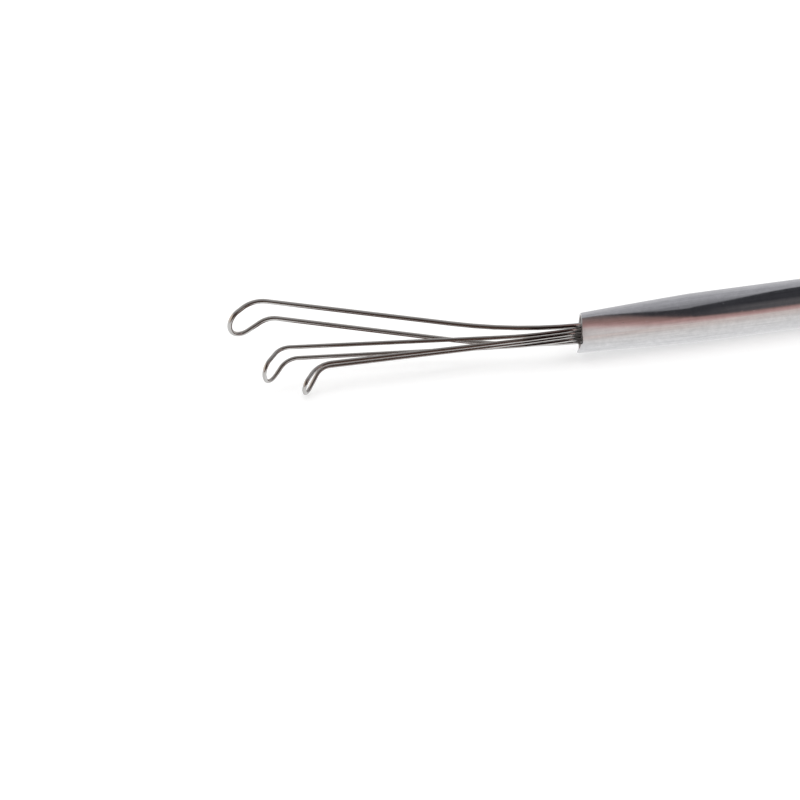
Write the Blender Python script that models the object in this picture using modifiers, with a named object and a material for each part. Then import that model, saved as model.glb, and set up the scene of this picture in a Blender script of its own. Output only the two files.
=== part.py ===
"""Wire-loop ear pick: three sprung wire loops, one longer than the next, in the nose of a slim steel tube.

The tool lies along X as it does on a table. The flat tail face is at the origin and faces +X, the loops point
to -X, and the underside of the handle is one handle radius below the origin. Metres, +Z up.
"""

import math
from typing import NamedTuple

import bpy
from mathutils import Matrix, Vector

# Handle tube, with its front end narrowed into a nose
HANDLE_DIAMETER = 0.0046
TUBE_LENGTH = 0.092
TUBE_WALL = 0.00025
NOSE_LENGTH = 0.0105
NOSE_BULGE_SHARE = 0.03
MOUTH_WALL = 0.000375
MOUTH_CLEARANCE = 0.000215
LIP_ROUND = 0.00012
EDGE_ROUND = 0.0001

# Cap pressed in the tube's rear end
CAP_HEAD = 0.0012
CAP_STEM = 0.006
CAP_ROUND = 0.0004
CAP_SEAM = 0.00004

# Ferrule pressed in the nose from behind, and the filling behind the wires' ends
FERRULE_START = 0.0015
FERRULE_LENGTH = 0.0045
POCKET_CLEARANCE = 0.00005
PRESS_GAP = 0.00004
PLUG_GAP = 0.0003

# The row in which the six wires leave the mouth, side by side
WIRE_GAP = 0.00002
SEAT_DEPTH = 0.004
PIVOT_DEPTH = 0.0025
ROW_FRONT = 0.00005
ROW_SIDE = 0.00006
ROW_TURN = math.radians(66)
STRAIGHT_OUT = 0.005
FAN_RADIUS = 0.04

# Long loop
LONG_WIRE = 0.00045
LONG_REACH = 0.02855
LONG_RISE = 0.0085
LONG_WIDTH = 0.002
LONG_SKEW = 0.00135
LONG_HOOK = 0.00345
LONG_HOOK_WIDTH = 0.003
LONG_UPPER_BEND = 0.0027
LONG_LOWER_BEND = 0.0025
LONG_TIP_RADIUS = 0.0013
LONG_HOOK_ANGLE = math.radians(43)
LONG_LEAN = math.radians(18)
LONG_TURN = math.radians(3)

# Middle loop
MIDDLE_WIRE = 0.00038
MIDDLE_REACH = 0.02735
MIDDLE_RISE = 0.0025
MIDDLE_WIDTH = 0.0014
MIDDLE_SKEW = 0.00055
MIDDLE_HOOK = 0.0031
MIDDLE_HOOK_WIDTH = 0.00295
MIDDLE_UPPER_BEND = 0.00165
MIDDLE_LOWER_BEND = 0.0021
MIDDLE_TIP_RADIUS = 0.00105
MIDDLE_HOOK_ANGLE = math.radians(52.5)
MIDDLE_LEAN = math.radians(15)
MIDDLE_TURN = math.radians(4)

# Short loop
SHORT_WIRE = 0.00038
SHORT_REACH = 0.02435
SHORT_RISE = 0.00035
SHORT_WIDTH = 0.0005
SHORT_SKEW = 0.0002
SHORT_HOOK = 0.00295
SHORT_HOOK_WIDTH = 0.0023
SHORT_UPPER_BEND = 0.00255
SHORT_LOWER_BEND = 0.00165
SHORT_TIP_RADIUS = 0.00075
SHORT_HOOK_ANGLE = math.radians(53)
SHORT_LEAN = math.radians(10)
SHORT_TURN = math.radians(-7)

# Counts and shares that set how finely the round shapes are cut
ROUND_SIDES = 32
NOSE_STEPS = 7
ROUND_STEPS = 3
BEND_STEP = math.radians(8)
MOST_SIDE_SHARE = 0.98
SHARP_EDGE = math.radians(35)

# Worked out: the handle's radii and the places of its pieces, with depth measured from the mouth to the tail
SHORT_HALF_ROW = (SHORT_WIRE + WIRE_GAP) / 2
MIDDLE_HALF_ROW = SHORT_HALF_ROW + (SHORT_WIRE + MIDDLE_WIRE) / 2 + WIRE_GAP
LONG_HALF_ROW = MIDDLE_HALF_ROW + (MIDDLE_WIRE + LONG_WIRE) / 2 + WIRE_GAP
ROW_RADIUS = LONG_HALF_ROW + LONG_WIRE / 2
HANDLE_RADIUS = HANDLE_DIAMETER / 2
BORE_RADIUS = HANDLE_RADIUS - TUBE_WALL
MOUTH_RADIUS = ROW_RADIUS + MOUTH_CLEARANCE
LIP_RADIUS = MOUTH_RADIUS + MOUTH_WALL
POCKET_RADIUS = ROW_RADIUS + math.hypot(ROW_FRONT, ROW_SIDE) + POCKET_CLEARANCE
FERRULE_END = FERRULE_START + FERRULE_LENGTH
CAP_FRONT = TUBE_LENGTH + CAP_SEAM
MOUTH_X = -(CAP_FRONT + CAP_HEAD)


class Loop(NamedTuple):
    """One wire loop: two legs from the handle, bent over near their far end into a hook that closes the loop."""

    wire: float
    half_row: float
    reach: float
    rise: float
    width: float
    skew: float
    hook: float
    hook_width: float
    upper_bend: float
    lower_bend: float
    tip_radius: float
    hook_angle: float
    lean: float
    turn: float


LONG_LOOP = Loop(
    wire=LONG_WIRE,
    half_row=LONG_HALF_ROW,
    reach=LONG_REACH,
    rise=LONG_RISE,
    width=LONG_WIDTH,
    skew=LONG_SKEW,
    hook=LONG_HOOK,
    hook_width=LONG_HOOK_WIDTH,
    upper_bend=LONG_UPPER_BEND,
    lower_bend=LONG_LOWER_BEND,
    tip_radius=LONG_TIP_RADIUS,
    hook_angle=LONG_HOOK_ANGLE,
    lean=LONG_LEAN,
    turn=LONG_TURN,
)
MIDDLE_LOOP = Loop(
    wire=MIDDLE_WIRE,
    half_row=MIDDLE_HALF_ROW,
    reach=MIDDLE_REACH,
    rise=MIDDLE_RISE,
    width=MIDDLE_WIDTH,
    skew=MIDDLE_SKEW,
    hook=MIDDLE_HOOK,
    hook_width=MIDDLE_HOOK_WIDTH,
    upper_bend=MIDDLE_UPPER_BEND,
    lower_bend=MIDDLE_LOWER_BEND,
    tip_radius=MIDDLE_TIP_RADIUS,
    hook_angle=MIDDLE_HOOK_ANGLE,
    lean=MIDDLE_LEAN,
    turn=MIDDLE_TURN,
)
SHORT_LOOP = Loop(
    wire=SHORT_WIRE,
    half_row=SHORT_HALF_ROW,
    reach=SHORT_REACH,
    rise=SHORT_RISE,
    width=SHORT_WIDTH,
    skew=SHORT_SKEW,
    hook=SHORT_HOOK,
    hook_width=SHORT_HOOK_WIDTH,
    upper_bend=SHORT_UPPER_BEND,
    lower_bend=SHORT_LOWER_BEND,
    tip_radius=SHORT_TIP_RADIUS,
    hook_angle=SHORT_HOOK_ANGLE,
    lean=SHORT_LEAN,
    turn=SHORT_TURN,
)


# Scene, materials and collections


def clear_scene():
    for obj in list(bpy.data.objects):
        bpy.data.objects.remove(obj, do_unlink=True)


def new_collection(name):
    collection = bpy.data.collections.new(name)
    bpy.context.scene.collection.children.link(collection)
    return collection


def metal(name, color, roughness):
    """A bare metal with its own colour."""
    material = bpy.data.materials.new(name)
    material.use_nodes = True
    shader = material.node_tree.nodes["Principled BSDF"]
    shader.inputs["Base Color"].default_value = (*color, 1)
    shader.inputs["Metallic"].default_value = 1
    shader.inputs["Roughness"].default_value = roughness
    return material


# Turned pieces, as profiles of (depth behind the mouth, radius)


def rounded_corner(depth, radius, depth_side, radius_side, size, from_face):
    """Points of a quarter round inside the corner at (depth, radius).

    The two sides say where the metal lies from the corner, and from_face starts the round on the face across
    the axis and not on the turned side.
    """
    points = []
    for step in range(ROUND_STEPS + 1):
        angle = math.pi / 2 * step / ROUND_STEPS
        if not from_face:
            angle = math.pi / 2 - angle
        points.append(
            (
                depth + depth_side * size * (1 - math.cos(angle)),
                radius + radius_side * size * (1 - math.sin(angle)),
            )
        )
    return points


def turned_piece(name, profile, closed, material, collection):
    """Turns a profile about the handle's axis, with one flat of its many sides facing down.

    The corners stand out so that each radius is measured across the flats. The profile's outer side runs
    from the tail to the mouth.
    """
    half_side = math.pi / ROUND_SIDES
    to_corner = 1 / math.cos(half_side)
    points = [
        (
            radius * to_corner * math.cos(half_side),
            radius * to_corner * math.sin(half_side),
            depth,
        )
        for depth, radius in profile
    ]
    edges = [(number, number + 1) for number in range(len(points) - 1)]
    if closed:
        edges.append((len(points) - 1, 0))
    outline = bpy.data.meshes.new(name + "_profile")
    outline.from_pydata(points, edges, [])
    piece = bpy.data.objects.new(name, outline)
    collection.objects.link(piece)
    screw = piece.modifiers.new("turn", "SCREW")
    screw.steps = ROUND_SIDES
    screw.render_steps = ROUND_SIDES
    screw.use_merge_vertices = True
    screw.merge_threshold = WIRE_GAP / 2
    bpy.context.view_layer.update()
    turned = bpy.data.meshes.new_from_object(piece.evaluated_get(bpy.context.evaluated_depsgraph_get()))
    piece.modifiers.clear()
    piece.data = turned
    bpy.data.meshes.remove(outline)
    turned.name = name
    turned.materials.clear()
    turned.materials.append(material)
    turned.shade_smooth()
    turned.set_sharp_from_angle(angle=SHARP_EDGE)
    piece.matrix_world = Matrix.Translation((MOUTH_X, 0, 0)) @ Matrix.Rotation(math.pi / 2, 4, "Y")
    return piece


def tube_radius(depth):
    """Outside of the tube: the nose widens from the lip to the handle, a little fuller than a straight cone."""
    share = min(depth / NOSE_LENGTH, 1)
    fullness = share + 4 * NOSE_BULGE_SHARE * share * (1 - share)
    return LIP_RADIUS + (HANDLE_RADIUS - LIP_RADIUS) * fullness


def bore_radius(depth):
    """Inside of the tube, where the nose's wall thickens towards the mouth."""
    return MOUTH_RADIUS + (BORE_RADIUS - MOUTH_RADIUS) * min(depth / NOSE_LENGTH, 1)


def handle_tube(material, collection):
    profile = rounded_corner(TUBE_LENGTH, HANDLE_RADIUS, -1, -1, EDGE_ROUND, True)
    for step in range(NOSE_STEPS, 0, -1):
        depth = LIP_ROUND + (NOSE_LENGTH - LIP_ROUND) * step / NOSE_STEPS
        profile.append((depth, tube_radius(depth)))
    profile += rounded_corner(0, tube_radius(LIP_ROUND), 1, -1, LIP_ROUND, False)
    profile += rounded_corner(0, bore_radius(LIP_ROUND), 1, 1, LIP_ROUND, True)
    profile.append((NOSE_LENGTH, BORE_RADIUS))
    profile.append((TUBE_LENGTH, BORE_RADIUS))
    return turned_piece("handle_tube", profile, True, material, collection)


def tail_cap(material, collection):
    stem_radius = BORE_RADIUS - PRESS_GAP
    stem_front = CAP_FRONT - CAP_STEM
    profile = [(-MOUTH_X, 0)]
    profile += rounded_corner(-MOUTH_X, HANDLE_RADIUS, -1, -1, CAP_ROUND, True)
    profile += rounded_corner(CAP_FRONT, HANDLE_RADIUS, 1, -1, EDGE_ROUND, False)
    profile.append((CAP_FRONT, stem_radius))
    profile += rounded_corner(stem_front, stem_radius, 1, -1, CAP_ROUND, False)
    profile.append((stem_front, 0))
    return turned_piece("tail_cap", profile, False, material, collection)


def wire_ferrule(material, collection):
    """A short sleeve that wedges in the nose's taper, around the wires' ends."""
    profile = [
        (FERRULE_END, bore_radius(FERRULE_END) - PRESS_GAP),
        (FERRULE_START, bore_radius(FERRULE_START) - PRESS_GAP),
        (FERRULE_START, POCKET_RADIUS),
        (FERRULE_END, POCKET_RADIUS),
    ]
    return turned_piece("wire_ferrule", profile, True, material, collection)


def bond_plug(material, collection):
    """The hard filling behind the wires' ends. It is also round them in the real tool."""
    radius = POCKET_RADIUS - PRESS_GAP
    front = SEAT_DEPTH + PLUG_GAP
    profile = [(FERRULE_END, 0)]
    profile += rounded_corner(FERRULE_END, radius, -1, -1, EDGE_ROUND, True)
    profile += rounded_corner(front, radius, 1, -1, EDGE_ROUND, False)
    profile.append((front, 0))
    return turned_piece("bond_plug", profile, False, material, collection)


# Wire loops


def fan_ways(turn):
    """The way the hooks bend and the way a loop's two legs lie apart, for a loop turned about the handle."""
    hook_way = Vector((0, -math.sin(turn), -math.cos(turn)))
    side_way = Vector((0, math.cos(turn), -math.sin(turn)))
    return hook_way, side_way


def fan_point(depth, front, side):
    """A point at this depth behind the mouth, and this far from the handle's axis in the row's two ways."""
    hook_way, side_way = fan_ways(ROW_TURN)
    return Vector((MOUTH_X + depth, 0, 0)) + front * hook_way + side * side_way


def loop_ways(loop):
    """Along the legs to the hook, square to the loop on the hook's side, and across the legs."""
    out = fan_point(-loop.reach, -loop.rise, ROW_SIDE) - fan_point(-STRAIGHT_OUT, ROW_FRONT, ROW_SIDE)
    out.normalize()
    hook_way, side_way = fan_ways(ROW_TURN + loop.turn)
    front = (hook_way - hook_way.dot(out) * out).normalized()
    across = front.cross(out)
    if across.dot(side_way) < 0:
        across = -across
    return out, front, across


def loop_corners(loop):
    """The loop's corner points and the radius of the bend at each, from one wire end to the other."""
    out, front, across = loop_ways(loop)
    seat = fan_point(SEAT_DEPTH, ROW_FRONT, ROW_SIDE)
    bend = fan_point(-STRAIGHT_OUT, ROW_FRONT, ROW_SIDE)
    fold = fan_point(-loop.reach, -loop.rise, ROW_SIDE)
    upright = math.cos(loop.hook_angle) * out + math.sin(loop.hook_angle) * front
    hook_out = math.cos(loop.lean) * upright + math.sin(loop.lean) * across
    hook_across = math.cos(loop.lean) * across - math.sin(loop.lean) * upright
    tip = fold + loop.hook * hook_out
    half_row = loop.half_row * across
    half_fold = (loop.width * across - loop.skew * out) / 2
    half_tip = loop.hook_width / 2 * hook_across
    corners = [
        seat - half_row,
        bend - half_row,
        fold - half_fold,
        tip - half_tip,
        tip + half_tip,
        fold + half_fold,
        bend + half_row,
        seat + half_row,
    ]
    radii = [
        0,
        FAN_RADIUS,
        loop.upper_bend,
        loop.tip_radius,
        loop.tip_radius,
        loop.lower_bend,
        FAN_RADIUS,
        0,
    ]
    return corners, radii


def bend_points(corners, radii, number):
    """Points of the bend at one corner. Its radius gives way where a side is too short for it."""
    corner = corners[number]
    sides = [corners[number - 1] - corner, corners[number + 1] - corner]
    rooms = [
        side.length * MOST_SIDE_SHARE / (2 if radii[beyond] else 1)
        for side, beyond in zip(sides, (number - 1, number + 1))
    ]
    ways = [side.normalized() for side in sides]
    turned = math.pi - ways[0].angle(ways[1])
    set_back = min(radii[number] * math.tan(turned / 2), *rooms)
    radius = set_back / math.tan(turned / 2)
    centre = corner + (ways[0] + ways[1]).normalized() * radius / math.cos(turned / 2)
    start = corner + ways[0] * set_back - centre
    axis = start.cross(corner + ways[1] * set_back - centre)
    steps = max(2, math.ceil(turned / BEND_STEP))
    return [centre + Matrix.Rotation(turned * step / steps, 3, axis) @ start for step in range(steps + 1)]


def loop_route(loop):
    """The wire's middle line from one end to the other."""
    corners, radii = loop_corners(loop)
    route = [corners[0]]
    for number in range(1, len(corners) - 1):
        route += bend_points(corners, radii, number)
    route.append(corners[-1])
    return route


def loop_pivot():
    """The place about which every loop flexes, where its wires come out of the filling."""
    return fan_point(PIVOT_DEPTH, ROW_FRONT, ROW_SIDE)


def wire_loop(name, loop, material, collection):
    pivot = loop_pivot()
    curve = bpy.data.curves.new(name, "CURVE")
    curve.dimensions = "3D"
    curve.bevel_depth = loop.wire / 2
    curve.bevel_resolution = 3
    curve.use_fill_caps = True
    route = loop_route(loop)
    spline = curve.splines.new("POLY")
    spline.points.add(len(route) - 1)
    for point, place in zip(spline.points, route):
        point.co = (*(place - pivot), 1)
    spline.use_smooth = True
    curve.materials.append(material)
    wire = bpy.data.objects.new(name, curve)
    wire.location = pivot
    collection.objects.link(wire)
    return wire


def main():
    clear_scene()
    parts = new_collection("ear_pick")
    handle_steel = metal("handle stainless steel", (0.62, 0.62, 0.64), 0.28)
    spring_steel = metal("spring steel wire", (0.56, 0.55, 0.54), 0.18)
    ferrule_steel = metal("ferrule steel", (0.45, 0.44, 0.43), 0.4)
    solder = metal("solder", (0.5, 0.49, 0.47), 0.5)
    handle_tube(handle_steel, parts)
    tail_cap(handle_steel, parts)
    wire_ferrule(ferrule_steel, parts)
    bond_plug(solder, parts)
    wire_loop("wire_loop_long", LONG_LOOP, spring_steel, parts)
    wire_loop("wire_loop_middle", MIDDLE_LOOP, spring_steel, parts)
    wire_loop("wire_loop_short", SHORT_LOOP, spring_steel, parts)


main()
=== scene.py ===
"""Looks of a wire-loop ear pick: a satin steel handle and three bright spring wire loops, on a white table.

Everything is in metres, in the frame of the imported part: the tail face is at the origin, the loops point
to -X and the handle lies along X on the floor. Sizes are written in millimetres and multiplied by MM.
"""

import math
from typing import NamedTuple

import bmesh
import bpy
from mathutils import Matrix, Vector


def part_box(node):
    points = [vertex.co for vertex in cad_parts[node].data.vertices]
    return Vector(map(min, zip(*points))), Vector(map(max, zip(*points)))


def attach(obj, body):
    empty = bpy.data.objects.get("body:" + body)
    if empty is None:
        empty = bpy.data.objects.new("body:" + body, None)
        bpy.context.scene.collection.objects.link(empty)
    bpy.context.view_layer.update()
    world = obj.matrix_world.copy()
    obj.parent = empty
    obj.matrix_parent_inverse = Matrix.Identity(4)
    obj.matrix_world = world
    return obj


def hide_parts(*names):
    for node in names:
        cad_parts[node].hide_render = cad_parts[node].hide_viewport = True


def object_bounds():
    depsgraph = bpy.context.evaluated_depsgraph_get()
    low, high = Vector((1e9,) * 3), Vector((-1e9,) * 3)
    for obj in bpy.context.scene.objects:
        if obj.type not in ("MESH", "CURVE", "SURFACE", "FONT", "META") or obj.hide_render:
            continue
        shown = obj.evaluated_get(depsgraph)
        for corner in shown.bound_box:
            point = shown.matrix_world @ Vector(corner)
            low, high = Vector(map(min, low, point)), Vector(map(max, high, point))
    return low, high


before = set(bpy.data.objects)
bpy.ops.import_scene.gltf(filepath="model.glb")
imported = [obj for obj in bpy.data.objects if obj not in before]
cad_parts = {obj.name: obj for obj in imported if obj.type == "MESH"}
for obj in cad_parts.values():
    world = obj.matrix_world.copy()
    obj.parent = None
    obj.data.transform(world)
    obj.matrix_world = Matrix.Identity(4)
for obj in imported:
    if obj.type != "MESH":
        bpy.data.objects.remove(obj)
cad_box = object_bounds()

MM = 0.001

# Handle: its length and thickness come from the frame, and depth is measured from the mouth to the tail
TUBE_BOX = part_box("handle_tube")
CAP_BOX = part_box("tail_cap")
MOUTH_X = TUBE_BOX[0][0]
TUBE_LENGTH = TUBE_BOX[1][0] - MOUTH_X
TAIL_DEPTH = CAP_BOX[1][0] - MOUTH_X
HANDLE_RADIUS = -TUBE_BOX[0][2]
TUBE_WALL = 0.25 * MM
NOSE_LENGTH = 10.5 * MM
NOSE_BULGE = 0.03
LIP_RADIUS = 1.85 * MM
MOUTH_RADIUS = 1.475 * MM
LIP_ROUND = 0.03 * MM
LIP_STEP = 0.02 * MM
MOUTH_ROUND = 0.05 * MM
FLARE = 0.16 * MM
FLARE_LENGTH = 0.8 * MM
EDGE_ROUND = 0.1 * MM
CAP_STEM = 6 * MM
CAP_SEAM = 0.04 * MM
CAP_ROUND = 0.4 * MM
PRESS_GAP = 0.04 * MM
HANDLE_SIDES = 144
NOSE_STEPS = 28
ROUND_STEPS = 6
MERGE_DISTANCE = MOUTH_ROUND / 100
SHARP_ANGLE = math.radians(40)

# The mouth was filed by hand: it slants back at the top and behind, and a lip stands out low in front
SLANT_REACH = 3 * MM
SLANT_TURN = math.radians(24)
TOP_SLANT = 0.26 * MM
FAR_SLANT = 0.15 * MM
LIP_TURN = math.radians(41)
LIP_REACH = 0.37 * MM
LIP_SHARPNESS = 10

# Row in which the wires leave the mouth, and the fan into which they spread
SEAT_DEPTH = 4 * MM
ROW_FRONT = 0.05 * MM
ROW_SIDE = 0.06 * MM
ROW_TURN = math.radians(66)
STRAIGHT_OUT = 5 * MM
FAN_RADIUS = 40 * MM
WIRE_SIDES = 24
BEND_STEP = math.radians(3)
LEAST_BEND_STEPS = 4
MOST_SIDE_SHARE = 0.98
WIRE_END_ROUND = 0.04 * MM
WIRE_END_STEPS = 3

# Marks in the metals. A pixel of the picture is 0.09 mm, so those that are finer in life are drawn coarser
STREAK_LENGTH = 6 * MM
STREAK_WIDTH = 0.22 * MM
WORN_PATCH = 0.5 * MM
SPECK_SPACING = 1.1 * MM
DIE_LINE_LENGTH = 8 * MM
DIE_LINE_WIDTH = 0.15 * MM
WIRE_MARK_LENGTH = 1.2 * MM
WIRE_MARK_WIDTH = 0.12 * MM
RING_WAVE = 1.2 * MM
SOLDER_GRAIN = 0.15 * MM

# Camera: where the photograph was taken from, found from the handle's edges and the mouth
PICTURE_SIZE = 800
MOUTH_PIXEL = (580, 333)
CAMERA_DISTANCE = 300 * MM
CAMERA_TURN = math.radians(-8)
CAMERA_RISE = math.radians(24)
CAMERA_ROLL = math.radians(-4.485)
NEAREST_SEEN = 1 * MM
FARTHEST_SEEN = 10000 * MM
LENS = 145.8
SENSOR = 36

# Studio: a white table, and a light tent that shows only in what the metal mirrors
FLOOR_Z = cad_box[0][2]
FLOOR_SIZE = 3000 * MM
TABLE_GLOW = 0.3
TENT_RADIUS = 30 * MM
TENT_START = -250 * MM
TENT_END = 60 * MM
TENT_SPAN = 40 * MM
TENT_STEPS = 36
CARD_LIFT = 0.05 * MM
# Flag of painted shade before the wires at the mouth
FLAG_LENGTH = 5 * MM
FLAG_DISTANCE = 3 * MM
FLAG_BOTTOM = -1.4 * MM
FLAG_TOP = 5.2 * MM

# Outlines of the two cards of painted shade on the table, in millimetres before the mouth and behind the
# handle's axis
SHADE_CARD_OUTLINES = (
    ((0.2, -60), (0.2, -2.2), (6, -2.2), (10, -1.2), (23.3, -1.2), (23.3, -7), (45, -7), (45, -60)),
    ((8, 0.6), (8, 2), (27.5, 11), (27.5, 4), (25.5, 0.6)),
)

# Edges on the tent: pairs of millimetres behind the mouth and degrees up from the table in front
DARK_TOP = (
    (0, 118), (5, 112), (7.5, 97), (9, 89), (11, 78), (12.6, 72), (14.3, 69), (19.5, 82), (23, 95),
    (26, 104), (32, 108),
)
DARK_BOTTOM = ((5, 113), (6.3, 95), (7.5, 85), (9, 63), (11, 48), (12.6, 34), (14.3, 28), (19.5, 20))
BLUSH = ((3.4, 61), (4.8, 47), (7.2, 36), (10, 22), (13, 17), (19, 12), (23, 9), (26, 12))

# Over how many degrees each of these edges fades, on either side of its line
DARK_TOP_FADE = 2
DARK_BOTTOM_FADE = 7
BLUSH_FADE = 90

# Where the tent's colours change, from and to: millimetres behind the mouth, or degrees up from the table
WIRE_SIDE_FROM, WIRE_SIDE_TO = 2.6, 1.8
PALER_GAP_FROM, PALER_GAP_TO = 14, 24
LOW_GAP_FROM, LOW_GAP_TO = 59.4, 43.2
LEFT_END_FROM, LEFT_END_TO = -48, -56

# Settings that several nodes share
SMOOTH = {"interpolation_type": "SMOOTHSTEP"}
LINEAR = {"interpolation_type": "LINEAR"}
COLORS = {"data_type": "RGBA"}


class Loop(NamedTuple):
    """One wire loop, with its sizes in millimetres and its angles in degrees."""

    node: str
    body: str
    wire: float
    half_row: float
    reach: float
    rise: float
    width: float
    skew: float
    hook: float
    hook_width: float
    upper_bend: float
    lower_bend: float
    tip_radius: float
    hook_angle: float
    lean: float
    turn: float


LOOPS = [
    Loop(
        "wire_loop_long", "long_loop", wire=0.45, half_row=1.035, reach=28.55, rise=8.5, width=2, skew=1.35,
        hook=3.45, hook_width=3, upper_bend=2.7, lower_bend=2.5, tip_radius=1.3, hook_angle=43, lean=18,
        turn=3,
    ),
    Loop(
        "wire_loop_middle", "middle_loop", wire=0.38, half_row=0.6, reach=27.35, rise=2.5, width=1.4,
        skew=0.55, hook=3.1, hook_width=2.95, upper_bend=1.65, lower_bend=2.1, tip_radius=1.05,
        hook_angle=52.5, lean=15, turn=4,
    ),
    Loop(
        "wire_loop_short", "short_loop", wire=0.38, half_row=0.2, reach=24.35, rise=0.35, width=0.5,
        skew=0.2, hook=2.95, hook_width=2.3, upper_bend=2.55, lower_bend=1.65, tip_radius=0.75,
        hook_angle=53, lean=10, turn=-7,
    ),
]


# Colours and nodes


def color(hex_text):
    """A linear colour from an sRGB hex value."""
    channels = [int(hex_text[start:start + 2], 16) / 255 for start in (1, 3, 5)]
    linear = [c / 12.92 if c <= 0.04045 else ((c + 0.055) / 1.055) ** 2.4 for c in channels]
    return (*linear, 1)


def add(tree, kind, settings=None, stops=(), **inputs):
    """Adds a node with its settings, the stops of its colour ramp, and its links.

    A stop is a place and a colour or plain number. An input is a value, a socket, or a node that stands for
    its first output. It goes by the socket's name with _ for a space, or by its number as in i0.
    """
    node = tree.nodes.new(kind)
    for name, value in (settings or {}).items():
        setattr(node, name, value)
    for number, (place, shade) in enumerate(stops):
        elements = node.color_ramp.elements
        element = elements[number] if number < 2 else elements.new(place)
        element.position = place
        element.color = shade if isinstance(shade, tuple) else (shade, shade, shade, 1)
    for name, value in inputs.items():
        key = int(name[1:]) if name[1:].isdigit() else name.replace("_", " ")
        if isinstance(value, bpy.types.Node):
            value = value.outputs[0]
        if isinstance(value, bpy.types.NodeSocket):
            tree.links.new(value, node.inputs[key])
        else:
            node.inputs[key].default_value = value
    return node


def new_material(name):
    """A material whose nodes are cleared, and its node tree."""
    material = bpy.data.materials.new(name)
    material.use_nodes = True
    material.node_tree.nodes.clear()
    return material, material.node_tree


# Materials


def satin_stainless():
    """Stainless steel tube, belt-polished: soft mirror streaks along the handle, and a few fine specks.

    The scratches of such a belt are about 0.02 mm wide, so the streaks are drawn ten times as wide.
    """
    material, tree = new_material("satin polished stainless steel")
    place = add(tree, "ShaderNodeTexCoord").outputs["Object"]
    along = add(
        tree, "ShaderNodeMapping", Vector=place, Scale=(1 / STREAK_LENGTH, 1 / STREAK_WIDTH, 1 / STREAK_WIDTH)
    )
    streaks = add(tree, "ShaderNodeTexNoise", Vector=along, Scale=1, Detail=3, Roughness=0.6)
    clouds = add(tree, "ShaderNodeTexNoise", Vector=place, Scale=1 / WORN_PATCH, Detail=3)
    worn = add(tree, "ShaderNodeMix", i0=0.4, i2=streaks, i3=clouds)
    shade = add(
        tree, "ShaderNodeValToRGB", Fac=worn, stops=[(0.3, color("#CBCBCD")), (0.7, color("#E3E3E5"))]
    )
    rough = add(tree, "ShaderNodeMapRange", Value=worn, From_Min=0.3, From_Max=0.7, To_Min=0.1, To_Max=0.15)
    bump = add(tree, "ShaderNodeBump", Strength=0.25, Distance=0.003 * MM, Height=streaks)
    specks = add(tree, "ShaderNodeTexVoronoi", Vector=place, Scale=1 / SPECK_SPACING)
    pitted = add(
        tree, "ShaderNodeMapRange", Value=specks, From_Min=0.03, From_Max=0.06, To_Min=1, To_Max=0
    )
    fine = add(tree, "ShaderNodeBump", Strength=0.6, Distance=0.01 * MM, Height=pitted, Normal=bump)
    shader = add(
        tree, "ShaderNodeBsdfPrincipled", Base_Color=shade, Metallic=1, Roughness=rough, Normal=fine
    )
    add(tree, "ShaderNodeOutputMaterial", Surface=shader)
    return material


def pale_lit_drawn_bore():
    """Inside of the steel tube, left as it was drawn: dull, with die lines along it and no polish. Its pale
    colour is painted light, which lifts the shade inside the mouth.

    Real die lines are a few hundredths of a millimetre wide, so they are drawn coarser.
    """
    material, tree = new_material("as drawn stainless bore with painted light")
    place = add(tree, "ShaderNodeTexCoord").outputs["Object"]
    along = add(
        tree,
        "ShaderNodeMapping",
        Vector=place,
        Scale=(1 / DIE_LINE_LENGTH, 1 / DIE_LINE_WIDTH, 1 / DIE_LINE_WIDTH),
    )
    lines = add(tree, "ShaderNodeTexNoise", Vector=along, Scale=1, Detail=3, Roughness=0.6)
    # Painted light: paler than the polished steel outside, so that the bore near the mouth is less dark
    shade = add(
        tree, "ShaderNodeValToRGB", Fac=lines, stops=[(0.3, color("#E4E1E1")), (0.7, color("#EFEDED"))]
    )
    bump = add(tree, "ShaderNodeBump", Strength=0.4, Distance=0.005 * MM, Height=lines)
    shader = add(
        tree, "ShaderNodeBsdfPrincipled", Base_Color=shade, Metallic=1, Roughness=0.65, Normal=bump
    )
    add(tree, "ShaderNodeOutputMaterial", Surface=shader)
    return material


def drawn_wire():
    """Stainless spring wire, drawn bright: fine marks along the wire that follow it round its bends.

    Real drawing marks are about 0.01 mm wide, so they are drawn coarser.
    """
    material, tree = new_material("drawn stainless spring wire")
    drawn = add(tree, "ShaderNodeAttribute", {"attribute_name": "drawn"}).outputs["Vector"]
    along = add(
        tree,
        "ShaderNodeMapping",
        Vector=drawn,
        Scale=(1 / WIRE_MARK_LENGTH, 1 / WIRE_MARK_WIDTH, 1 / WIRE_MARK_WIDTH),
    )
    marks = add(tree, "ShaderNodeTexNoise", Vector=along, Scale=1, Detail=3, Roughness=0.6)
    shade = add(
        tree, "ShaderNodeValToRGB", Fac=marks, stops=[(0.3, color("#BDBBB9")), (0.7, color("#D4D3D2"))]
    )
    rough = add(tree, "ShaderNodeMapRange", Value=marks, From_Min=0.3, From_Max=0.7, To_Min=0.2, To_Max=0.1)
    bump = add(tree, "ShaderNodeBump", Strength=0.3, Distance=0.004 * MM, Height=marks)
    shader = add(
        tree, "ShaderNodeBsdfPrincipled", Base_Color=shade, Metallic=1, Roughness=rough, Normal=bump
    )
    add(tree, "ShaderNodeOutputMaterial", Surface=shader)
    return material


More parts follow.
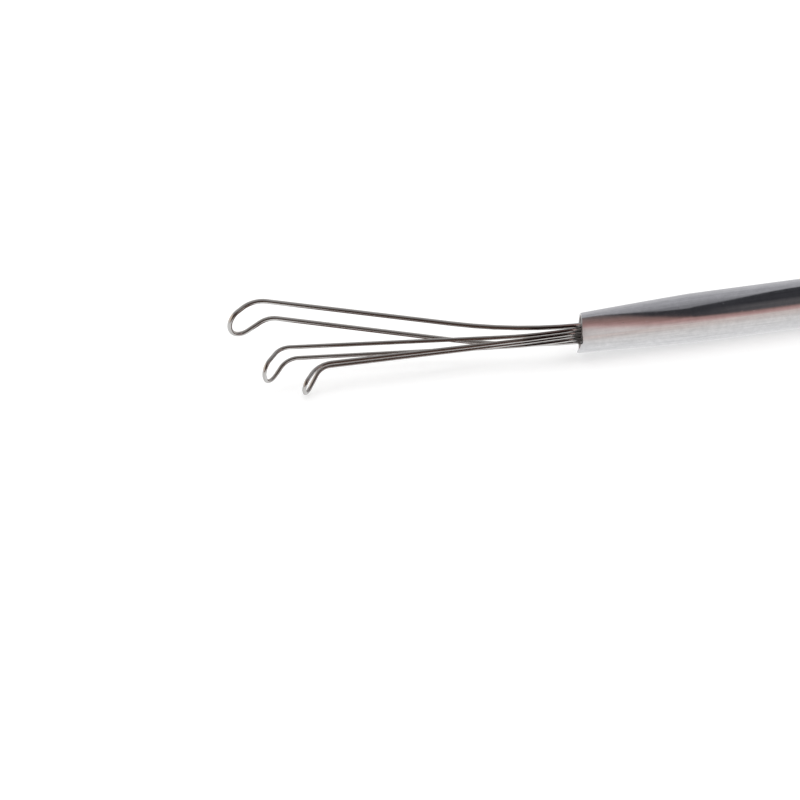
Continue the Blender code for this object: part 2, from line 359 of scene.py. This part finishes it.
def turned_brass():
    """Brass sleeve, turned on a lathe: fine rings round it and a slightly dulled yellow.

    A lathe leaves rings about 0.1 mm apart. A wave texture repeats every 0.31 of its size, so these are
    0.38 mm apart, coarser than in life.
    """
    material, tree = new_material("turned brass")
    place = add(tree, "ShaderNodeTexCoord").outputs["Object"]
    rings = add(
        tree, "ShaderNodeTexWave", {"bands_direction": "X"}, Vector=place, Scale=1 / RING_WAVE, Distortion=0.6
    )
    shade = add(
        tree, "ShaderNodeValToRGB", Fac=rings, stops=[(0, color("#B49A62")), (1, color("#CDB375"))]
    )
    bump = add(tree, "ShaderNodeBump", Strength=0.3, Distance=0.003 * MM, Height=rings)
    shader = add(
        tree, "ShaderNodeBsdfPrincipled", Base_Color=shade, Metallic=1, Roughness=0.3, Normal=bump
    )
    add(tree, "ShaderNodeOutputMaterial", Surface=shader)
    return material


def soft_solder():
    """Soft solder, frozen in the sleeve: dull grey with a fine grain, drawn coarser than in life."""
    material, tree = new_material("soft solder")
    place = add(tree, "ShaderNodeTexCoord").outputs["Object"]
    grain = add(tree, "ShaderNodeTexVoronoi", Vector=place, Scale=1 / SOLDER_GRAIN)
    shade = add(
        tree, "ShaderNodeValToRGB", Fac=grain, stops=[(0, color("#A9A8A4")), (1, color("#C2C1BC"))]
    )
    bump = add(tree, "ShaderNodeBump", Strength=0.4, Distance=0.01 * MM, Height=grain)
    shader = add(
        tree, "ShaderNodeBsdfPrincipled", Base_Color=shade, Metallic=1, Roughness=0.45, Normal=bump
    )
    add(tree, "ShaderNodeOutputMaterial", Surface=shader)
    return material


# Meshes


def finished(name, bm, material):
    """Makes a piece from a bmesh: faces outwards, smooth but for its sharp edges."""
    bmesh.ops.recalc_face_normals(bm, faces=bm.faces)
    mesh = bpy.data.meshes.new(name)
    bm.to_mesh(mesh)
    bm.free()
    mesh.shade_smooth()
    mesh.set_sharp_from_angle(angle=SHARP_ANGLE)
    mesh.materials.append(material)
    piece = bpy.data.objects.new(name, mesh)
    bpy.context.scene.collection.objects.link(piece)
    return piece


def corner_round(depth, radius, depth_side, radius_side, size, from_face):
    """Points of a quarter round inside a corner at a depth and radius.

    It starts on the face across the axis or on the turned side. The sides say which way the metal lies.
    """
    points = []
    for step in range(ROUND_STEPS + 1):
        angle = math.pi / 2 * step / ROUND_STEPS
        if not from_face:
            angle = math.pi / 2 - angle
        rounded_depth = depth + depth_side * size * (1 - math.cos(angle))
        points.append((rounded_depth, radius + radius_side * size * (1 - math.sin(angle))))
    return points


def turned(profile, closed):
    """Spins a profile of (depth behind the mouth, radius) about the handle's axis."""
    bm = bmesh.new()
    verts = [bm.verts.new((MOUTH_X + depth, 0, radius)) for depth, radius in profile]
    for start, end in zip(verts, verts[1:]):
        bm.edges.new((start, end))
    if closed:
        bm.edges.new((verts[-1], verts[0]))
    bmesh.ops.spin(
        bm, geom=bm.verts[:] + bm.edges[:], axis=(1, 0, 0), angle=math.tau, steps=HANDLE_SIDES, use_merge=True
    )
    bmesh.ops.remove_doubles(bm, verts=bm.verts, dist=MERGE_DISTANCE)
    return bm


def tube_radius(depth):
    """Outside of the tube: the nose widens from the lip to the handle, a bit fuller than a straight cone."""
    share = min(depth / NOSE_LENGTH, 1)
    return LIP_RADIUS + (HANDLE_RADIUS - LIP_RADIUS) * (share + 4 * NOSE_BULGE * share * (1 - share))


def slant_mouth(bm):
    """Slants the mouth of the turned tube, and draws the outside of its rim into a lip."""
    up = Vector((0, math.sin(SLANT_TURN), math.cos(SLANT_TURN)))
    far = Vector((0, math.cos(SLANT_TURN), -math.sin(SLANT_TURN)))
    low_front = Vector((0, -math.cos(LIP_TURN), -math.sin(LIP_TURN)))
    for vert in bm.verts:
        share = 1 - (vert.co.x - MOUTH_X) / SLANT_REACH
        if share > 0:
            radius = math.hypot(vert.co.y, vert.co.z)
            way = Vector((0, vert.co.y, vert.co.z)) / radius
            outside = min(max((radius - MOUTH_RADIUS) / (LIP_RADIUS - MOUTH_RADIUS), 0), 1)
            lip = max(0, way.dot(low_front)) ** LIP_SHARPNESS
            slant = TOP_SLANT * way.dot(up) + FAR_SLANT * way.dot(far) - LIP_REACH * lip * outside
            vert.co.x += slant * share ** 2


def handle_tube(material, bore_material):
    """The tube: a thin wall that narrows to the mouth, open at both ends, with its bore left unpolished."""
    bore = HANDLE_RADIUS - TUBE_WALL
    profile = corner_round(TUBE_LENGTH, HANDLE_RADIUS, -1, -1, EDGE_ROUND, True)
    for step in range(NOSE_STEPS, 0, -1):
        depth = LIP_ROUND + (NOSE_LENGTH - LIP_ROUND) * step / NOSE_STEPS
        profile.append((depth, tube_radius(depth)))
    profile.append((LIP_ROUND + LIP_STEP, tube_radius(LIP_ROUND + LIP_STEP)))
    profile += corner_round(0, tube_radius(LIP_ROUND), 1, -1, LIP_ROUND, False)
    profile += corner_round(0, MOUTH_RADIUS + FLARE, 1, 1, MOUTH_ROUND, True)
    profile += [(FLARE_LENGTH, MOUTH_RADIUS + (bore - MOUTH_RADIUS) * FLARE_LENGTH / NOSE_LENGTH)]
    profile += [(SLANT_REACH, MOUTH_RADIUS + (bore - MOUTH_RADIUS) * SLANT_REACH / NOSE_LENGTH)]
    profile += [(NOSE_LENGTH, bore), (TUBE_LENGTH, bore)]
    bm = turned(profile, True)
    slant_mouth(bm)
    for face in bm.faces:
        middle = face.calc_center_median()
        wall_middle = tube_radius(middle.x - MOUTH_X) - TUBE_WALL / 2
        if math.hypot(middle.y, middle.z) < wall_middle and middle.x - MOUTH_X < TUBE_LENGTH - TUBE_WALL:
            face.material_index = 1
    piece = finished("steel_handle_tube", bm, material)
    piece.data.materials.append(bore_material)
    return piece


def tail_cap(material):
    """The cap: a disc as thick as the handle behind a fine seam, on a stem that is pressed into the tube."""
    stem = HANDLE_RADIUS - TUBE_WALL - PRESS_GAP
    front = TUBE_LENGTH + CAP_SEAM
    stem_front = front - CAP_STEM
    profile = [(TAIL_DEPTH, 0)]
    profile += corner_round(TAIL_DEPTH, HANDLE_RADIUS, -1, -1, CAP_ROUND, True)
    profile += corner_round(front, HANDLE_RADIUS, 1, -1, EDGE_ROUND, False)
    profile.append((front, stem))
    profile += corner_round(stem_front, stem, 1, -1, CAP_ROUND, False)
    profile.append((stem_front, 0))
    return finished("steel_tail_cap", turned(profile, False), material)


# Wire loops


def fan_ways(turn):
    """The way the hooks bend and the way a loop's two legs lie apart, for a loop turned about the handle."""
    return Vector((0, -math.sin(turn), -math.cos(turn))), Vector((0, math.cos(turn), -math.sin(turn)))


def fan_point(depth, front, side):
    """A point behind the mouth, moved the way the hooks bend and the way the legs lie apart."""
    hook_way, side_way = fan_ways(ROW_TURN)
    return Vector((MOUTH_X + depth, 0, 0)) + front * hook_way + side * side_way


def loop_corners(loop):
    """The loop's corner points and the radius of the bend at each, from one wire end to the other."""
    seat = fan_point(SEAT_DEPTH, ROW_FRONT, ROW_SIDE)
    bend = fan_point(-STRAIGHT_OUT, ROW_FRONT, ROW_SIDE)
    fold = fan_point(-loop.reach * MM, -loop.rise * MM, ROW_SIDE)
    out = (fold - bend).normalized()
    hook_way, side_way = fan_ways(ROW_TURN + math.radians(loop.turn))
    front = (hook_way - hook_way.dot(out) * out).normalized()
    across = front.cross(out)
    if across.dot(side_way) < 0:
        across = -across
    hook_angle = math.radians(loop.hook_angle)
    lean = math.radians(loop.lean)
    upright = math.cos(hook_angle) * out + math.sin(hook_angle) * front
    hook_out = math.cos(lean) * upright + math.sin(lean) * across
    hook_across = math.cos(lean) * across - math.sin(lean) * upright
    tip = fold + loop.hook * MM * hook_out
    half_row = loop.half_row * MM * across
    half_fold = (loop.width * across - loop.skew * out) * MM / 2
    half_tip = loop.hook_width * MM / 2 * hook_across
    legs = [(seat, half_row, 0), (bend, half_row, FAN_RADIUS)]
    end = (tip, half_tip, loop.tip_radius * MM)
    upper = legs + [(fold, half_fold, loop.upper_bend * MM), end]
    lower = legs + [(fold, half_fold, loop.lower_bend * MM), end]
    corners = [place - half for place, half, radius in upper]
    corners += [place + half for place, half, radius in lower[::-1]]
    radii = [radius for place, half, radius in upper + lower[::-1]]
    return corners, radii


def bend_points(corners, radii, number):
    """Points of the bend at one corner. Its radius gives way where a side is too short for it."""
    corner = corners[number]
    sides = [corners[number - 1] - corner, corners[number + 1] - corner]
    rooms = [
        side.length * MOST_SIDE_SHARE / (2 if radii[beyond] else 1)
        for side, beyond in zip(sides, (number - 1, number + 1))
    ]
    ways = [side.normalized() for side in sides]
    turned_by = math.pi - ways[0].angle(ways[1])
    set_back = min(radii[number] * math.tan(turned_by / 2), *rooms)
    radius = set_back / math.tan(turned_by / 2)
    centre = corner + (ways[0] + ways[1]).normalized() * radius / math.cos(turned_by / 2)
    start = corner + ways[0] * set_back - centre
    axis = start.cross(corner + ways[1] * set_back - centre)
    steps = max(LEAST_BEND_STEPS, math.ceil(turned_by / BEND_STEP))
    return [
        centre + Matrix.Rotation(turned_by * step / steps, 3, axis) @ start for step in range(steps + 1)
    ]


def loop_route(loop):
    """The wire's middle line from one end to the other."""
    corners, radii = loop_corners(loop)
    route = [corners[0]]
    for number in range(1, len(corners) - 1):
        route += bend_points(corners, radii, number)
    route.append(corners[-1])
    return route


def ring_places(route):
    """A frame at each point of the route, turned as little as possible from one to the next."""
    ways = [(end - start).normalized() for start, end in zip(route, route[1:])]
    turn = Vector((0, 0, 1)).rotation_difference(ways[0])
    places = [Matrix.Translation(route[0]) @ turn.to_matrix().to_4x4()]
    last = ways[0]
    for point, before, after in zip(route[1:], ways, ways[1:] + ways[-1:]):
        way = (before + after).normalized()
        turn = last.rotation_difference(way) @ turn
        places.append(Matrix.Translation(point) @ turn.to_matrix().to_4x4())
        last = way
    return places


def wire_loop(loop, material):
    """Round wire along the loop's route: a ring that is extruded from point to point.

    The attribute "drawn" holds where each point lay on the straight wire before it was bent.
    """
    radius = loop.wire * MM / 2
    places = ring_places(loop_route(loop))
    bm = bmesh.new()
    drawn = bm.verts.layers.float_vector.new("drawn")
    bmesh.ops.create_circle(bm, cap_ends=False, segments=WIRE_SIDES, radius=radius)
    for vert in bm.verts:
        vert[drawn] = (0, vert.co.x, vert.co.y)
    bmesh.ops.transform(bm, matrix=places[0], verts=bm.verts)
    edges = bm.edges[:]
    first_ring = edges
    for last, place in zip(places, places[1:]):
        grown = bmesh.ops.extrude_edge_only(bm, edges=edges)["geom"]
        verts = [part for part in grown if isinstance(part, bmesh.types.BMVert)]
        grown_edges = [part for part in grown if isinstance(part, bmesh.types.BMEdge)]
        edges = [edge for edge in grown_edges if all(vert in verts for vert in edge.verts)]
        bmesh.ops.transform(bm, matrix=place @ last.inverted(), verts=verts)
        step = (place.translation - last.translation).length
        for vert in verts:
            vert[drawn] = vert[drawn] + Vector((step, 0, 0))
    rims = first_ring + edges
    bmesh.ops.holes_fill(bm, edges=rims, sides=0)
    bmesh.ops.bevel(
        bm,
        geom=rims,
        offset=WIRE_END_ROUND,
        segments=WIRE_END_STEPS,
        profile=0.5,
        affect="EDGES",
        material=-1,
    )
    return finished(loop.node.replace("wire_loop", "spring_wire"), bm, material)


# Studio


def white_table():
    """White table that keeps a faint shadow. In the metal it shows a painted reflection, white below the tool
    and darker and pinker further out.

    The stops of its colours in the metal are shares of the tent's span, out in front of the handle.
    """
    material, tree = new_material("white table")
    path = add(tree, "ShaderNodeLightPath")
    place = add(tree, "ShaderNodeSeparateXYZ", Vector=add(tree, "ShaderNodeTexCoord").outputs["Object"])
    board = add(tree, "ShaderNodeBsdfDiffuse", Color=color("#F4F4F4"))
    lift = add(tree, "ShaderNodeEmission", Color=color("#FFFFFF"), Strength=TABLE_GLOW)
    seen = add(tree, "ShaderNodeAddShader", i0=board, i1=lift)
    out = add(tree, "ShaderNodeMapRange", Value=place.outputs["Y"], From_Min=0, From_Max=-TENT_SPAN)
    # Painted reflection: the colour the metal sees in the table is emitted, and gets darker and pinker out in
    # front
    shade = add(
        tree,
        "ShaderNodeValToRGB",
        Fac=out,
        stops=[
            (0.04, color("#F6F6F6")),
            (0.08, color("#F1F0EF")),
            (0.13, color("#ECE9E7")),
            (0.24, color("#E5DCD8")),
            (0.5, color("#E4D7D2")),
        ],
    )
    painted_reflection = add(tree, "ShaderNodeEmission", Color=shade)
    board_or_seen = add(tree, "ShaderNodeMixShader", Fac=path.outputs["Is Camera Ray"], i1=board, i2=seen)
    surface = add(
        tree, "ShaderNodeMixShader", Fac=path.outputs["Is Glossy Ray"], i1=board_or_seen, i2=painted_reflection
    )
    add(tree, "ShaderNodeOutputMaterial", Surface=surface)
    return material


def painted_shade_card():
    """Dark brown card that only the metal sees: painted shade, which the wires mirror from below."""
    material, tree = new_material("painted shade card")
    # Painted shade: a dark emitted colour, seen only in the metal
    add(tree, "ShaderNodeOutputMaterial", Surface=add(tree, "ShaderNodeEmission", Color=color("#664E45")))
    return material


def painted_shade_flag():
    """Nearly black card before the wires next to the mouth that only the metal sees: painted shade in the
    wires there, browner and paler towards its top.
    """
    material, tree = new_material("painted shade flag")
    place = add(tree, "ShaderNodeSeparateXYZ", Vector=add(tree, "ShaderNodeTexCoord").outputs["Object"])
    height = add(
        tree, "ShaderNodeMapRange", Value=place.outputs["Z"], From_Min=FLAG_BOTTOM, From_Max=FLAG_TOP
    )
    # Painted shade: darkest low down, browner and paler towards the top
    shade = add(
        tree,
        "ShaderNodeValToRGB",
        Fac=height,
        stops=[(0.1, color("#0A0403")), (0.4, color("#1C0F0C")), (1, color("#3E322E"))],
    )
    add(tree, "ShaderNodeOutputMaterial", Surface=add(tree, "ShaderNodeEmission", Color=shade))
    return material


def tent_share(behind_mouth):
    """Share of the tent's span at which a place lies, from its millimetres behind the mouth."""
    return behind_mouth * MM / TENT_SPAN


def half_turns(degrees):
    """Share of a half turn that an angle in degrees is."""
    return degrees / 180


def tent_cloth():
    """What the metal mirrors: pale walls above and behind, a dark gap high in front, a pink blush below it.

    Angles go round the tent in half turns, from the table in front over the top to the table behind. The
    handle mirrors one set of colours, the wires before the mouth a second, and the far left end is cream.
    """
    material, tree = new_material("light tent cloth")
    place = add(tree, "ShaderNodeSeparateXYZ", Vector=add(tree, "ShaderNodeTexCoord").outputs["Object"])
    forward = add(tree, "ShaderNodeMath", {"operation": "MULTIPLY"}, i0=place.outputs["Y"], i1=-1)
    round_axis = add(tree, "ShaderNodeMath", {"operation": "ARCTAN2"}, i0=place.outputs["Z"], i1=forward)
    angle = add(tree, "ShaderNodeMapRange", Value=round_axis, From_Max=math.pi)
    depth = add(
        tree, "ShaderNodeMapRange", Value=place.outputs["X"], From_Min=MOUTH_X, From_Max=MOUTH_X + TENT_SPAN
    )
    tent_edges = (
        (DARK_TOP, DARK_TOP_FADE, SMOOTH),
        (DARK_BOTTOM, DARK_BOTTOM_FADE, SMOOTH),
        (BLUSH, BLUSH_FADE, LINEAR),
    )
    over = []
    for edge, fade, kind in tent_edges:
        stops = [(tent_share(behind_mouth), half_turns(degrees)) for behind_mouth, degrees in edge]
        height = add(tree, "ShaderNodeValToRGB", Fac=depth, stops=stops)
        above = add(tree, "ShaderNodeMath", {"operation": "SUBTRACT"}, i0=angle, i1=height)
        half = half_turns(fade)
        over.append(add(tree, "ShaderNodeMapRange", kind, Value=above, From_Min=-half, From_Max=half))
    over_dark_top, over_dark_bottom, over_blush = over
    walls = add(
        tree,
        "ShaderNodeValToRGB",
        Fac=angle,
        stops=[
            (0.46, color("#8A8A8E")),
            (0.54, color("#A5A5A9")),
            (0.7, color("#B5B5B9")),
            (0.83, color("#CBCBCE")),
            (1, color("#D5D5D8")),
        ],
    )
    low = add(
        tree,
        "ShaderNodeValToRGB",
        Fac=over_blush,
        stops=[
            (0.3, color("#E5DEDB")),
            (0.39, color("#E0D3D0")),
            (0.44, color("#D8C0BC")),
            (0.5, color("#BF9B97")),
            (0.58, color("#A2817C")),
            (0.7, color("#88726E")),
            (0.78, color("#766A68")),
        ],
    )
    lighter = add(
        tree,
        "ShaderNodeMapRange",
        SMOOTH,
        Value=depth,
        From_Min=tent_share(PALER_GAP_FROM),
        From_Max=tent_share(PALER_GAP_TO),
    )
    under = add(
        tree,
        "ShaderNodeMapRange",
        SMOOTH,
        Value=angle,
        From_Min=half_turns(LOW_GAP_FROM),
        From_Max=half_turns(LOW_GAP_TO),
    )
    right_low = add(tree, "ShaderNodeMath", {"operation": "MULTIPLY"}, i0=lighter, i1=under)
    gap = add(tree, "ShaderNodeMix", COLORS, i0=right_low, i6=color("#3C3C40"), i7=color("#5E5C5E"))
    low_or_gap = add(
        tree, "ShaderNodeMix", COLORS, i0=over_dark_bottom, i6=low.outputs[0], i7=gap.outputs[2]
    )
    handle_side = add(
        tree, "ShaderNodeMix", COLORS, i0=over_dark_top, i6=low_or_gap.outputs[2], i7=walls.outputs[0]
    )
    wire_side = add(
        tree,
        "ShaderNodeValToRGB",
        Fac=angle,
        stops=[
            (0, color("#2A1F1A")),
            (0.08, color("#2C211C")),
            (0.26, color("#5E5049")),
            (0.54, color("#ABABAC")),
            (0.76, color("#B6B5B5")),
            (0.88, color("#EDE4DD")),
            (1, color("#F8EFE8")),
        ],
    )
    before_mouth = add(
        tree,
        "ShaderNodeMapRange",
        SMOOTH,
        Value=depth,
        From_Min=tent_share(WIRE_SIDE_FROM),
        From_Max=tent_share(WIRE_SIDE_TO),
    )
    left_end = add(
        tree,
        "ShaderNodeMapRange",
        SMOOTH,
        Value=place.outputs["X"],
        From_Min=MOUTH_X + LEFT_END_FROM * MM,
        From_Max=MOUTH_X + LEFT_END_TO * MM,
    )
    side = add(tree, "ShaderNodeMix", COLORS, i0=before_mouth, i6=handle_side.outputs[2], i7=wire_side)
    shade = add(tree, "ShaderNodeMix", COLORS, i0=left_end, i6=side.outputs[2], i7=color("#F6E7D9"))
    surface = add(tree, "ShaderNodeEmission", Color=shade.outputs[2])
    add(tree, "ShaderNodeOutputMaterial", Surface=surface)
    return material


def studio_piece(name, bm, material, in_metal_only):
    """Puts a piece on the stage. With in_metal_only it shows in mirrors alone and casts no shadow."""
    piece = finished(name, bm, material)
    if in_metal_only:
        piece.visible_camera = False
        piece.visible_diffuse = False
        piece.visible_transmission = False
        piece.visible_volume_scatter = False
        piece.visible_shadow = False


def studio():
    """The table, and the cards and the flag of painted shade and the tent, that show only in the metal."""
    table = bmesh.new()
    bmesh.ops.create_grid(
        table, x_segments=1, y_segments=1, size=FLOOR_SIZE / 2, matrix=Matrix.Translation((0, 0, FLOOR_Z))
    )
    studio_piece("white_table", table, white_table(), False)
    # Cards of painted shade on the table under and before the wires
    cards = bmesh.new()
    for outline in SHADE_CARD_OUTLINES:
        places = [(MOUTH_X - before * MM, behind * MM, FLOOR_Z + CARD_LIFT) for before, behind in outline]
        cards.faces.new([cards.verts.new(place) for place in places])
    studio_piece("painted_shade_cards", cards, painted_shade_card(), True)
    # A flag of painted shade standing before the wires at the mouth
    flag = bmesh.new()
    middle = (MOUTH_X - FLAG_LENGTH / 2, -FLAG_DISTANCE, (FLAG_BOTTOM + FLAG_TOP) / 2)
    size = Matrix.Diagonal((FLAG_LENGTH / 2, 1, (FLAG_TOP - FLAG_BOTTOM) / 2, 1))
    upright = Matrix.Translation(middle) @ size @ Matrix.Rotation(math.pi / 2, 4, "X")
    bmesh.ops.create_grid(flag, x_segments=1, y_segments=1, size=1, matrix=upright)
    studio_piece("painted_shade_flag", flag, painted_shade_flag(), True)
    tent = bmesh.new()
    ends = [tent.verts.new((x, TENT_RADIUS, 0)) for x in (TENT_START, TENT_END)]
    tent.edges.new(ends)
    bmesh.ops.spin(
        tent, geom=tent.verts[:] + tent.edges[:], axis=(1, 0, 0), angle=math.pi, steps=TENT_STEPS
    )
    studio_piece("light_tent", tent, tent_cloth(), True)


def soft_world():
    """Even light from all round, a shade below white, and plain white where the camera sees it."""
    world = bpy.data.worlds.new("soft white light")
    bpy.context.scene.world = world
    world.use_nodes = True
    world.node_tree.nodes.clear()
    tree = world.node_tree
    path = add(tree, "ShaderNodeLightPath")
    shade = add(
        tree,
        "ShaderNodeMix",
        COLORS,
        i0=path.outputs["Is Camera Ray"],
        i6=color("#F6F6F6"),
        i7=color("#FFFFFF"),
    )
    background = add(tree, "ShaderNodeBackground", Color=shade.outputs[2])
    add(tree, "ShaderNodeOutputWorld", Surface=background)


def photo_camera():
    """Camera that sees the mouth at the same pixel as in the photograph."""
    data = bpy.data.cameras.new("camera")
    data.lens = LENS
    data.sensor_width = SENSOR
    data.clip_start = NEAREST_SEEN
    data.clip_end = FARTHEST_SEEN
    turn = (
        Matrix.Rotation(CAMERA_TURN, 3, "Z")
        @ Matrix.Rotation(math.pi / 2 - CAMERA_RISE, 3, "X")
        @ Matrix.Rotation(CAMERA_ROLL, 3, "Z")
    )
    middle = PICTURE_SIZE / 2
    pixels = LENS / SENSOR * PICTURE_SIZE
    to_mouth = turn @ Vector(((MOUTH_PIXEL[0] - middle) / pixels, (middle - MOUTH_PIXEL[1]) / pixels, -1))
    camera = bpy.data.objects.new("camera", data)
    stand = Vector((MOUTH_X, 0, 0)) - CAMERA_DISTANCE * to_mouth.normalized()
    camera.matrix_world = Matrix.Translation(stand) @ turn.to_4x4()
    bpy.context.scene.collection.objects.link(camera)
    bpy.context.scene.camera = camera


def main():
    bpy.context.scene.view_settings.view_transform = "Standard"
    photo_camera()
    studio()
    soft_world()
    steel = satin_stainless()
    for piece, node in ((handle_tube(steel, pale_lit_drawn_bore()), "handle_tube"), (tail_cap(steel), "tail_cap")):
        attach(piece, "handle")
        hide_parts(node)
    wire = drawn_wire()
    for loop in LOOPS:
        piece = wire_loop(loop, wire)
        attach(piece, loop.body)
        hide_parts(loop.node)
    for node, material in (("wire_ferrule", turned_brass()), ("bond_plug", soft_solder())):
        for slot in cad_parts[node].material_slots:
            slot.material = material


main()
